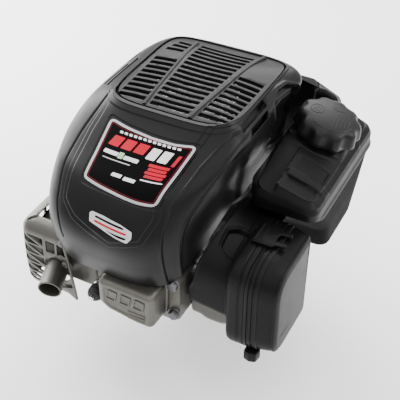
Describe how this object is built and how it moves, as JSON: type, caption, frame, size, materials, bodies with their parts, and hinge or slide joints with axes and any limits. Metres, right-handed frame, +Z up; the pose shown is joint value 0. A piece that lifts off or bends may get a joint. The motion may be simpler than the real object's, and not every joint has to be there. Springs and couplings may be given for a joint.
{
  "type": "vertical-shaft gasoline engine",
  "caption": "Small overhead-valve gasoline engine with a vertical output shaft, shrouded fan, side fuel tank, air cleaner and caged muffler, for a mower deck.",
  "frame": {"origin": "crankshaft axis in the plane of the mounting flange's underside", "axes": "+Z up along the crankshaft, -Y towards the cylinder and valve cover, +X towards the fuel tank and air cleaner"},
  "size_m": [0.343, 0.3549, 0.3434],
  "materials": {
    "black_plastic": "moulded black plastic, satin with fine grain",
    "dark_plastic": "dark grey moulded plastic, matt",
    "grey_casting": "warm grey painted casting",
    "aluminium": "as-cast and machined aluminium",
    "steel": "machined steel",
    "cast_iron": "cast iron",
    "rubber": "black rubber",
    "gasket": "pressed fibre gasket",
    "label": "printed black label, glossy",
    "badge": "bright badge plate",
    "paper": "pleated paper"
  },
  "bodies": {
    "engine_block": {"air_cleaner_base": "black_plastic", "air_filter": "paper", "blower_housing": "black_plastic", "carburetor": "aluminium", "crankcase": "grey_casting", "cylinder_head": "grey_casting", "cylinder_shield": "grey_casting", "exhaust_valve_spring": "steel", "float_bowl": "aluminium", "front_badge": "badge", "front_label": "label", "fuel_tank": "black_plastic", "head_bolt_1": "steel", "head_bolt_2": "steel", "head_gasket": "gasket", "ignition_coil": "dark_plastic", "intake_elbow": "dark_plastic", "intake_valve_spring": "steel", "muffler": "grey_casting", "muffler_gasket": "gasket", "muffler_guard": "grey_casting", "muffler_outlet": "grey_casting", "oil_filler_tube": "black_plastic", "oil_seal": "rubber", "piston": "aluminium", "rope_eyelet": "steel", "side_cover": "black_plastic", "small_end_bush": "aluminium", "spark_plug": "steel", "spark_plug_boot": "rubber", "starter_frame": "grey_casting", "sump": "grey_casting", "top_grille": "black_plastic", "valve_cover": "grey_casting", "wrist_pin": "steel"},
    "crank_assembly": {"crankshaft": "steel", "timing_gear": "cast_iron", "flywheel": "cast_iron", "flywheel_fan": "dark_plastic", "starter_cup": "steel", "flywheel_nut": "steel"},
    "rod_assembly": {"connecting_rod": "aluminium", "rod_cap": "aluminium"},
    "cam_assembly": {"camshaft": "cast_iron", "cam_gear": "dark_plastic"},
    "starter_reel": {"starter_pulley": "dark_plastic"},
    "tank_cap": {"fuel_cap": "black_plastic", "fuel_cap_gasket": "rubber"},
    "air_cover": {"air_cleaner_cover": "black_plastic"},
    "air_latch": {"air_cleaner_latch": "black_plastic"},
    "throttle": {"throttle_lever": "steel"},
    "oil_stick": {"dipstick": "dark_plastic"},
    "intake_lifter": {"intake_pushrod": "steel", "intake_tappet": "steel"},
    "exhaust_lifter": {"exhaust_pushrod": "steel", "exhaust_tappet": "steel"},
    "intake_arm": {"intake_rocker": "steel"},
    "exhaust_arm": {"exhaust_rocker": "steel"},
    "intake_poppet": {"intake_valve": "steel"},
    "exhaust_poppet": {"exhaust_valve": "steel"}
  },
  "joints": [
    {"name": "crank_spin", "type": "hinge", "parent": "engine_block", "child": "crank_assembly", "pos_m": [0, 0, 0.074], "axis": [0, 0, 1], "continuous": true},
    {"name": "rod_swing", "type": "hinge", "parent": "crank_assembly", "child": "rod_assembly", "pos_m": [0, -0.02225, 0.074], "axis": [0, 0, 1], "continuous": true},
    {"name": "cam_spin", "type": "hinge", "parent": "engine_block", "child": "cam_assembly", "pos_m": [0.0415, 0.03067, 0.074], "axis": [0, 0, 1], "continuous": true},
    {"name": "starter_spin", "type": "hinge", "parent": "engine_block", "child": "starter_reel", "pos_m": [0, 0, 0.2], "axis": [0, 0, 1], "continuous": true},
    {"name": "fuel_cap_lift", "type": "slide", "parent": "engine_block", "child": "tank_cap", "axis": [0.2588, 0, 0.9659], "range_m": [0, 0.06]},
    {"name": "air_cover_open", "type": "hinge", "parent": "engine_block", "child": "air_cover", "pos_m": [0.1376, -0.095, 0.009], "axis": [0, 1, 0], "range_deg": [0, 90]},
    {"name": "latch_open", "type": "hinge", "parent": "engine_block", "child": "air_latch", "pos_m": [0.124, -0.081, 0.1452], "axis": [0, -1, 0], "range_deg": [0, 80]},
    {"name": "throttle_turn", "type": "hinge", "parent": "engine_block", "child": "throttle", "pos_m": [0.097, -0.107, 0.096], "axis": [0, 0, 1], "range_deg": [0, 75]},
    {"name": "dipstick_pull", "type": "slide", "parent": "engine_block", "child": "oil_stick", "axis": [-0.6007, 0.3004, 0.7409], "range_m": [0, 0.11]},
    {"name": "intake_pushrod_lift", "type": "slide", "parent": "engine_block", "child": "intake_lifter", "axis": [0, -1, 0], "range_m": [0, 0.004]},
    {"name": "intake_rocker_tilt", "type": "hinge", "parent": "engine_block", "child": "intake_arm", "pos_m": [0.021, -0.178, 0.063], "axis": [0, 0, -1], "range_deg": [0, 12.4]},
    {"name": "intake_valve_open", "type": "slide", "parent": "engine_block", "child": "intake_poppet", "axis": [0, 1, 0], "range_m": [0, 0.0049], "deforming": ["intake_valve_spring"]},
    {"name": "exhaust_pushrod_lift", "type": "slide", "parent": "engine_block", "child": "exhaust_lifter", "axis": [0, -1, 0], "range_m": [0, 0.004]},
    {"name": "exhaust_rocker_tilt", "type": "hinge", "parent": "engine_block", "child": "exhaust_arm", "pos_m": [0.021, -0.178, 0.088], "axis": [0, 0, -1], "range_deg": [0, 12.4]},
    {"name": "exhaust_valve_open", "type": "slide", "parent": "engine_block", "child": "exhaust_poppet", "axis": [0, 1, 0], "range_m": [0, 0.0049], "deforming": ["exhaust_valve_spring"]}
  ],
  "couplings": [
    {"joint": "rod_swing", "follows": "crank_spin", "ratio": -1},
    {"joint": "cam_spin", "follows": "crank_spin", "ratio": -0.5},
    {"joint": "intake_rocker_tilt", "follows": "intake_pushrod_lift", "rad_per_m": 53.75},
    {"joint": "intake_valve_open", "follows": "intake_pushrod_lift", "ratio": 1.2},
    {"joint": "exhaust_rocker_tilt", "follows": "exhaust_pushrod_lift", "rad_per_m": 53.75},
    {"joint": "exhaust_valve_open", "follows": "exhaust_pushrod_lift", "ratio": 1.2}
  ]
}
